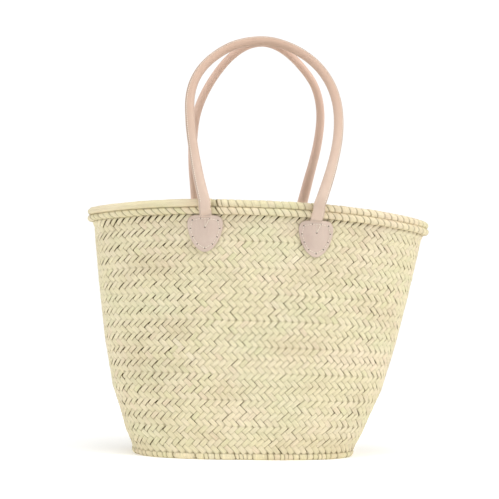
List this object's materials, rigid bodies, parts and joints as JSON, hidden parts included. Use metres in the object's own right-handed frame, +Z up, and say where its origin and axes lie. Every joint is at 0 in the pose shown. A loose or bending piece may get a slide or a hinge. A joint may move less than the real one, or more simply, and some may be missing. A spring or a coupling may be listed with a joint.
{
  "type": "woven market basket",
  "caption": "Tall oval market basket of plaited palm leaf with whipped rim and foot rolls, and two rolled leather shoulder handles on stitched leather tabs.",
  "frame": {"origin": "on the floor, under the middle of the basket's length and depth", "axes": "+Z up, +X along the mouth's length to the right seen from the front, -Y towards the front"},
  "size_m": [0.4676, 0.2092, 0.5718],
  "materials": {
    "palm_plait": "matt plaited palm leaf, cream straw with green, tan and pinkish strips",
    "palm_whipping": "matt palm leaf strip wound round a bundle",
    "palm_cord": "twisted palm fibre",
    "leather": "natural undyed vegetable-tanned leather, pale pinkish beige, satin",
    "thread": "waxed off-white thread"
  },
  "bodies": {
    "basket": {"base_plait": "palm_plait", "foot_core": "palm_cord", "foot_whipping": "palm_whipping", "wall_course_1": "palm_plait", "wall_course_2": "palm_plait", "wall_course_3": "palm_plait", "wall_course_4": "palm_plait", "wall_course_5": "palm_plait", "wall_course_6": "palm_plait", "wall_course_7": "palm_plait", "wall_course_8": "palm_plait", "wall_course_9": "palm_plait", "joining_twine": "palm_cord", "rim_lower_core": "palm_cord", "rim_lower_whipping": "palm_whipping", "rim_upper_core": "palm_cord", "rim_upper_whipping": "palm_whipping", "tab_front_left": "leather", "tab_front_right": "leather", "tab_back_left": "leather", "tab_back_right": "leather", "patch_front_left": "leather", "patch_front_right": "leather", "patch_back_left": "leather", "patch_back_right": "leather", "tab_thread_front_left": "thread", "tab_thread_front_right": "thread", "tab_thread_back_left": "thread", "tab_thread_back_right": "thread", "tongue_front_left": "leather", "tongue_front_right": "leather", "tongue_back_left": "leather", "tongue_back_right": "leather"},
    "front_handle": {"front_handle_cover": "leather", "front_handle_core": "palm_cord", "front_handle_seam": "thread"},
    "back_handle": {"back_handle_cover": "leather", "back_handle_core": "palm_cord", "back_handle_seam": "thread"}
  },
  "joints": [
    {"name": "front_handle_swing", "type": "hinge", "parent": "basket", "child": "front_handle", "pos_m": [-0.007, -0.098, 0.325], "axis": [1, 0, 0], "range_deg": [0, 160]},
    {"name": "back_handle_swing", "type": "hinge", "parent": "basket", "child": "back_handle", "pos_m": [-0.007, 0.098, 0.325], "axis": [-1, 0, 0], "range_deg": [0, 160]}
  ]
}
